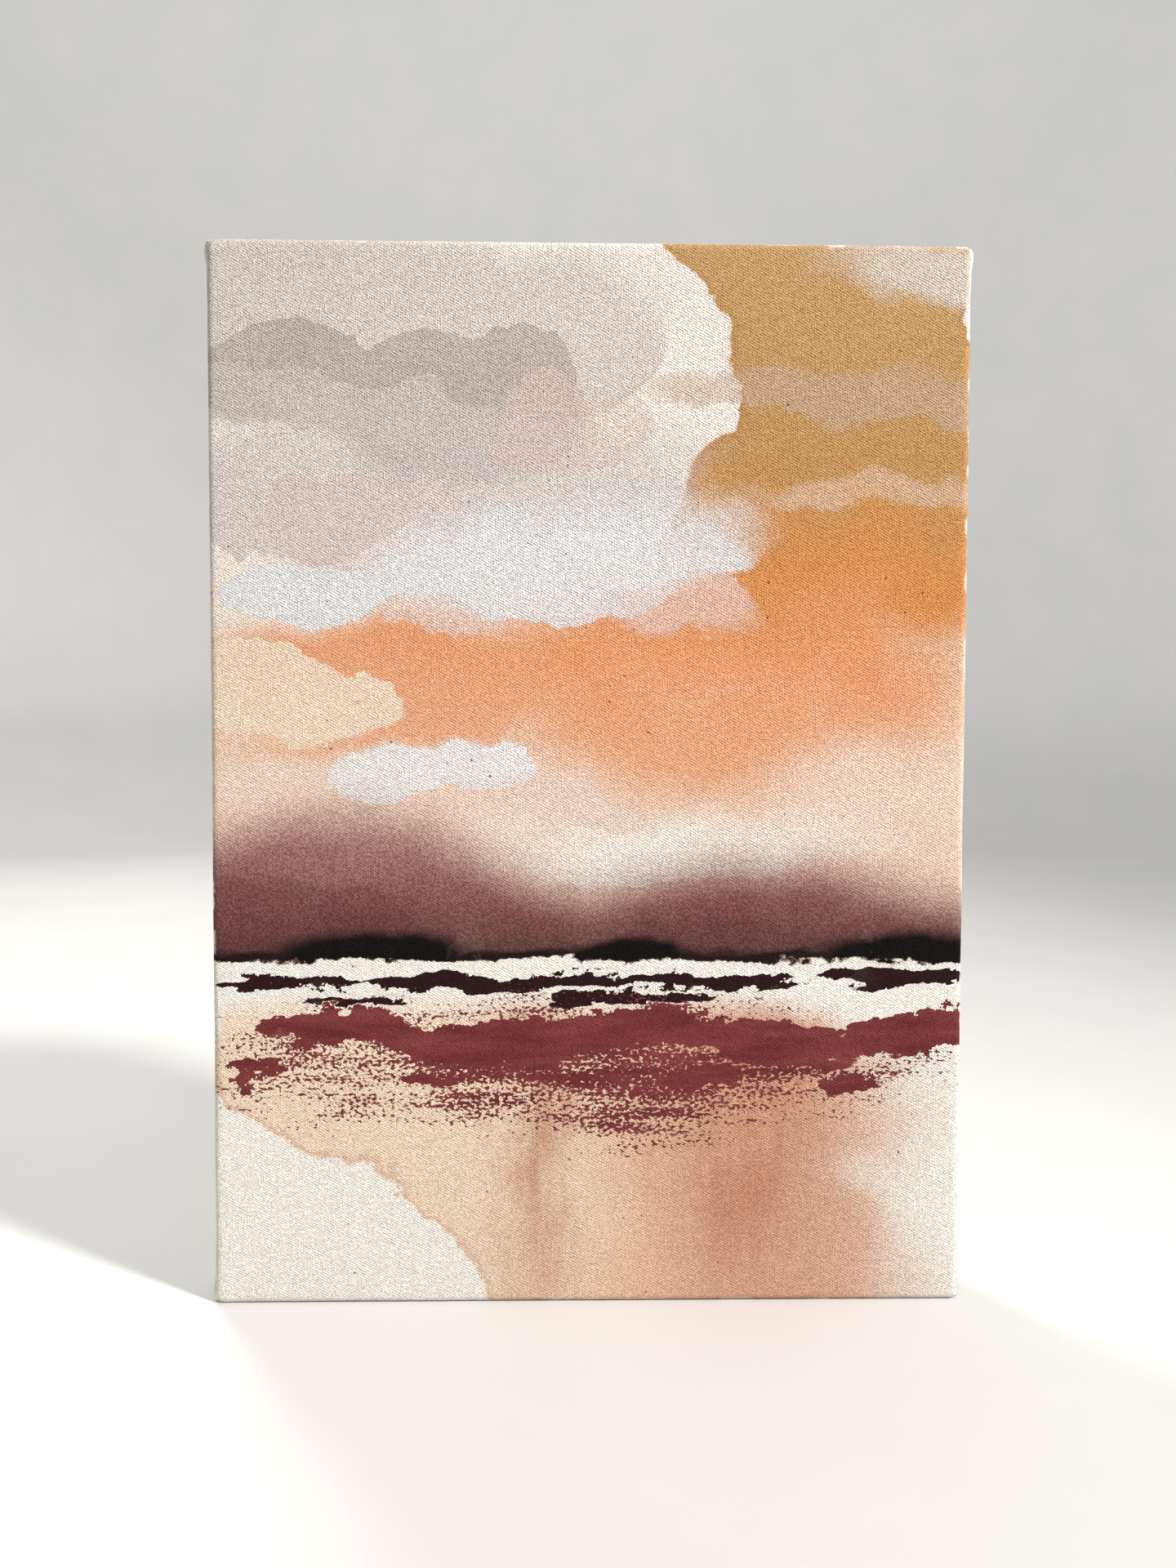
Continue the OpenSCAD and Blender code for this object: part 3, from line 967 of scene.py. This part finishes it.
def picture(tree, x, z, relief):
    """A washed shore landscape. S runs from 0 to 1 across the face, and t up from 0 on the same scale.
    Returns its colour, how thick the opaque paint lies in millimetres, and how strongly the
    hills' washes stain the cloth."""
    s = x / WIDTH + 0.5
    t = z / WIDTH
    top = HEIGHT / WIDTH

    broad = tree.noise(s * 2.6, t * 2.6, 1, detail=2) - 0.5
    swirl = tree.noise(s * 6.5, t * 6.5, 4, detail=3) - 0.5
    crumb = tree.noise(s * 60, t * 60, 2, detail=3, rough=0.7) - 0.5
    mottle = tree.noise(s * 11, t * 11, 7, detail=5, rough=0.6)
    ws = s + broad * 0.24 + swirl * 0.10 + crumb * 0.022
    wt = t - broad * 0.12 + swirl * 0.13 + crumb * 0.022

    # Sky: warm grey at the top to cream near the hills
    paint = Paint(tree, hexa("e9e5dc"))
    jag = tree.noise(s * 12, t * 40, 17, detail=3) - 0.5
    above = (t + jag * 0.035 + crumb * 0.02).step(SHORE - 0.002, SHORE + 0.002)
    sky = tree.ramp((wt - SHORE) / (top - SHORE), [
        (0.0, "dcbba8"), (0.22, "e0c6b4"), (0.42, "e0d0c0"),
        (0.62, "dfd6cd"), (0.8, "dbd4cb"), (1.0, "d8d0c7"),
    ])
    paint.lay(above, sky)

    # Glow: ochre at the top, through orange, to salmon on the left
    glow = lobes(ws, wt, GLOW)
    hue = tree.ramp((wt + ws * 0.10 - 0.60) / 0.9 + (mottle - 0.5) * 0.16, [
        (0.0, "dbb09a"), (0.18, "dda584"), (0.36, "da956a"),
        (0.50, "c8864c"), (0.66, "b18653"), (1.0, "b28f61"),
    ])
    crisp = (t + broad * 0.3).step(0.95, 1.10)
    soft_glow = glow.step(1.32, 0.66)
    hard_glow = glow.step(1.02, 0.995)
    paint.lay((soft_glow * (1 - crisp) + hard_glow * crisp) * above, hue)
    paint.lay(glow.bell(0.985, 0.035) * crisp * above * 0.30, "a06c36")

    # Clouds: thin washes that cover each other, whiter low down
    for cloud in CLOUDS:
        softness = (t + broad * 0.4).step(*cloud.turns) * cloud.soft
        far = lobes(ws, wt, cloud.discs)
        body = far.step(1.01 + softness, 0.99 - softness)
        paint.lay(body * above * (mottle * 0.6 + 0.7) * cloud.cover, cloud.colour)
        paint.lay(far.bell(0.985, 0.02) * above * (0.10 * cloud.cover), "8d7366")

    # Hills: plum washes that fade upwards
    ridge = 0.535 + 0.11 * s.bell(0.16, 0.22) + 0.06 * s.bell(0.70, 0.20) + broad * 0.10
    hill = (t + swirl * 0.05).step(ridge + 0.060, ridge - 0.05) * above
    tone = tree.ramp((t - SHORE + swirl * 0.08) / 0.16, [(0.0, "43211f"), (0.40, "743f42"), (1.0, "9d6e6b")])
    paint.lay(hill * (0.84 + mottle * 0.2), tone)
    inner = lobes(ws, wt, [(0.14, 0.50, 0.17, 0.060), (0.62, 0.49, 0.16, 0.040)])
    paint.lay(inner.step(1.05, 0.9) * above * 0.30, "5d3036")

    # Shore: near-black blots along the foot of the hills
    blots = lobes(s + swirl * 0.10, t + crumb * 0.01 + swirl * 0.05, BLOTS)
    line = (t + jag * 0.03).step(SHORE + 0.020, SHORE + 0.008)
    paint.lay(blots.step(1.25, 0.70).at_least(line * 0.9) * above, "0d0909")

    # Water: peach and cream washes, with soft upright reflections
    pool = lobes(ws, wt, POOL, blend=0.4)
    below = t.step(SHORE - 0.03, SHORE - 0.09)
    side = s.step(0.75, 0.40)
    tint = tree.ramp(s + broad * 0.4 + (mottle - 0.5) * 0.12, [
        (0.10, "e6cdb5"), (0.36, "e4ccb3"), (0.55, "dbb297"), (0.78, "d0a085"), (1.0, "d6b09a"),
    ])
    paint.lay(pool.step(1.20 - side * 0.19, 0.80 + side * 0.19) * below * 0.96, tint)
    paint.lay(pool.bell(0.98, 0.02) * side * t.step(0.36, 0.30) * 0.30, "b4795c")
    lean = s + swirl * 0.16 + crumb * 0.05
    glints = lean.bell(0.43, 0.055) + 0.9 * lean.bell(0.71, 0.11)
    streaky = tree.noise(s * 34, t * 5, 19, detail=3, rough=0.6).step(0.28, 0.66)
    shade = glints * t.step(-0.14, 0.18) * t.step(0.44, 0.34) * pool.step(1.0, 0.9)
    paint.lay(shade * (streaky * 0.35 + mottle * 0.65) * 0.90, "b06a4c")

    # Thin dark strokes across the white gap under the shore
    strokes = lobes(s + swirl * 0.25 + crumb * 0.06, t + jag * 0.05 + crumb * 0.02 + broad * 0.04, STROKES)
    paint.lay(strokes.step(1.02, 0.97), "291315")

    # Opaque maroon, with a dry brush around it
    tooth = tree.noise(x / (1.5 * MM), z / (1.0 * MM), 12, detail=2) + relief * 0.02
    rake = tree.noise(s * 7, t * 50, 15, detail=3) - 0.5
    masses = lobes(s + swirl * 0.20 + crumb * 0.07, t + jag * 0.06 + swirl * 0.05 + crumb * 0.04, MAROON)
    wet = masses.step(1.02, 0.98)
    load = lobes(s + broad * 0.4, t + swirl * 0.1, [(0.48, 0.32, 0.62, 0.125)]).step(1.0, 0.15)
    dry = (tooth + rake * 0.6 + load * 0.26).step(0.675, 0.695) * load.step(0.02, 0.10)
    opaque = wet.at_least(dry)
    maroon = tree.ramp(tree.noise(s * 9, t * 50, 11, detail=3), [(0.3, "66292b"), (0.7, "823d3e")])
    paint.lay(opaque, maroon)
    thick = opaque * OPAQUE_MM
    stain = hill * (1 - blots.step(1.25, 0.70)) * (1 - opaque)
    return paint.colour, thick, stain


RAGGED_SIZE = 14 * MM        # size of the tongues in which the paint ends on the sides
RAGGED = 10 * MM             # how far they would stray over the noise's full range, 0 to 1
PAINT_ROUND = 0.9 * MM       # roughly how far back from the face the paint goes
PAINT_LEAST = 0.5 * MM       # and the least that it goes
PAINT_SOFT = 0.4 * MM        # softness of its end
SMUDGE_SIZE = 30 * MM
SHADED = (1.1, -1.5)         # heights of the weave that are fully lit and fully shaded


def painted_cotton():
    """The outside of the cloth: white priming, with the picture on the face and a little way round."""
    tree = Tree("painted_cotton", roughness=0.8)
    tree.feed(tree.shader.inputs["Specular IOR Level"], 0.1)
    x, z, _ = tree.place("flat")
    relief = weave(tree, x, z)
    colour, thick, stain = picture(tree, x, z, relief)

    # The paint ends raggedly on the sides
    _, depth, _ = tree.place()
    ragged = tree.noise(x / RAGGED_SIZE, z / RAGGED_SIZE, 21, detail=4, rough=0.6)
    reach = ((ragged - 0.45) * RAGGED + PAINT_ROUND).at_least(PAINT_LEAST) + FRONT
    bare = (depth - reach).step(-PAINT_SOFT, PAINT_SOFT)
    smudge = tree.noise(x / SMUDGE_SIZE, z / SMUDGE_SIZE, 22, detail=4)
    priming = tree.ramp(smudge, [(0.3, "cfc9be"), (0.6, "dedad2"), (1.0, "e4e1da")])
    colour = tree.mix(bare, colour, priming)
    specks = seed_specks(tree, x, z, spacing=6.5 * MM, seed=2)
    colour = tree.mix(specks * 0.75, colour, hexa("4a372b"))
    settled = settled_pigment(tree, x, z) * ((stain * 0.38 + 0.20) * (1 - bare) + 0.14)
    colour = tree.mix(settled, colour, tree.scaled(colour, 0.50))
    shaded = relief.step(*SHADED) * 0.55
    colour = tree.mix(shaded, tree.scaled(colour, 1.16), tree.scaled(colour, 0.60))
    tree.feed(tree.shader.inputs["Base Color"], colour)
    tree.bump(relief * WEAVE_H + thick * (1 - bare))
    return tree.material


def raw_cotton():
    """The inside of the cloth, unprimed."""
    tree = Tree("raw_cotton", roughness=0.95, sheen_weight=0.15, sheen_roughness=0.5)
    x, z, _ = tree.place("flat")
    tone_size = 24 * MM
    thread_w = 0.6 * MM
    thread_len = 5 * MM
    tone = tree.noise(x / tone_size, z / tone_size, 31, detail=5, rough=0.6)
    thread = tree.noise(x / thread_w, z / thread_len, 32, detail=2)
    colour = tree.ramp(tone * 0.6 + thread * 0.4, [(0.3, "cbb894"), (0.5, "d9c9a8"), (0.75, "e2d5b9")])
    specks = seed_specks(tree, x, z, spacing=4.5 * MM, seed=33)
    colour = tree.mix(specks * 0.7, colour, hexa("6b4a2c"))
    relief = weave(tree, x, z)
    colour = tree.mix(relief.step(*SHADED) * 0.50, colour, tree.scaled(colour, 0.55))
    tree.feed(tree.shader.inputs["Base Color"], colour)
    tree.bump(relief * WEAVE_H)
    return tree.material


# ---- Wood ----

# The pale, middle and dark colours of a wood, and the width of its rings in millimetres
PINE = ("e3c79b", "d4ae7a", "b07f4b", 2.6)
BEECH = ("e6cda5", "d9b88a", "c09566", 1.5)


def sawn_wood(name, grain, heart, pale, mid, dark, ring_mm):
    """Wood with its grain along X or Z. Heart is where the tree's centre lay, in millimetres:
    its place across the grain, and its depth."""
    tree = Tree(name, roughness=0.62)
    x, y, z = tree.place()
    along, across = (x, z) if grain == "X" else (z, x)

    def drawn_out(long_mm, wide_mm, **settings):
        """Noise with features of a given length along the grain and width across it."""
        wide = wide_mm * MM
        return tree.noise(along / (long_mm * MM), across / wide, y / wide, **settings)

    bend = drawn_out(90, 45) - 0.5
    da = across - heart[0] * MM + bend * (11 * MM)
    dy = y - heart[1] * MM + bend * (6 * MM)
    far = tree.math("SQRT", da * da + dy * dy) / (ring_mm * MM)
    rings = tree.math("FRACT", far + 0.15 * drawn_out(30, 6))
    late = rings.step(0.35, 0.92) * rings.step(1.0, 0.95)
    fibre = drawn_out(7, 0.32, detail=4, rough=0.6)
    blotch = drawn_out(60, 20)
    share = late * 0.50 + (fibre - 0.5) * 0.9 + blotch * 0.3 + 0.1
    colour = tree.ramp(share, [(0.1, pale), (0.45, mid), (0.95, dark)])
    pores = fibre.step(0.62, 0.72)
    colour = tree.mix(pores * 0.3, colour, hexa("8a6238"))
    saw = drawn_out(0.5, 14, detail=1)
    tree.feed(tree.shader.inputs["Base Color"], colour)
    tree.feed(tree.shader.inputs["Roughness"], 0.55 + 0.25 * fibre)
    tree.bump(fibre * 0.12 + late * 0.03 + saw * 0.03)
    return tree.material


def finish_wood():
    for name, grain, heart in (
        ("top_bar", "X", (395, 38)), ("bottom_bar", "X", (-30, 52)),
        ("left_bar", "Z", (-60, -44)), ("right_bar", "Z", (160, 40)),
    ):
        dress(name, sawn_wood(name + "_pine", grain, heart, *PINE))
    for i, name in enumerate(sorted(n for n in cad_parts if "_key_" in n)):
        grain = "X" if name.startswith("flat") else "Z"
        heart = (40 + 23 * i, 30 - 9 * i)
        dress(name, sawn_wood(name + "_beech", grain, heart, *BEECH))


def dress(node, material):
    """Gives a CAD node a material of its own, in place of any other."""
    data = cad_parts[node].data
    data.materials.clear()
    data.materials.append(material)


# ---- The whole scene ----

make_camera()
make_lights()
make_floor()
make_cloth()
make_staples()
finish_wood()
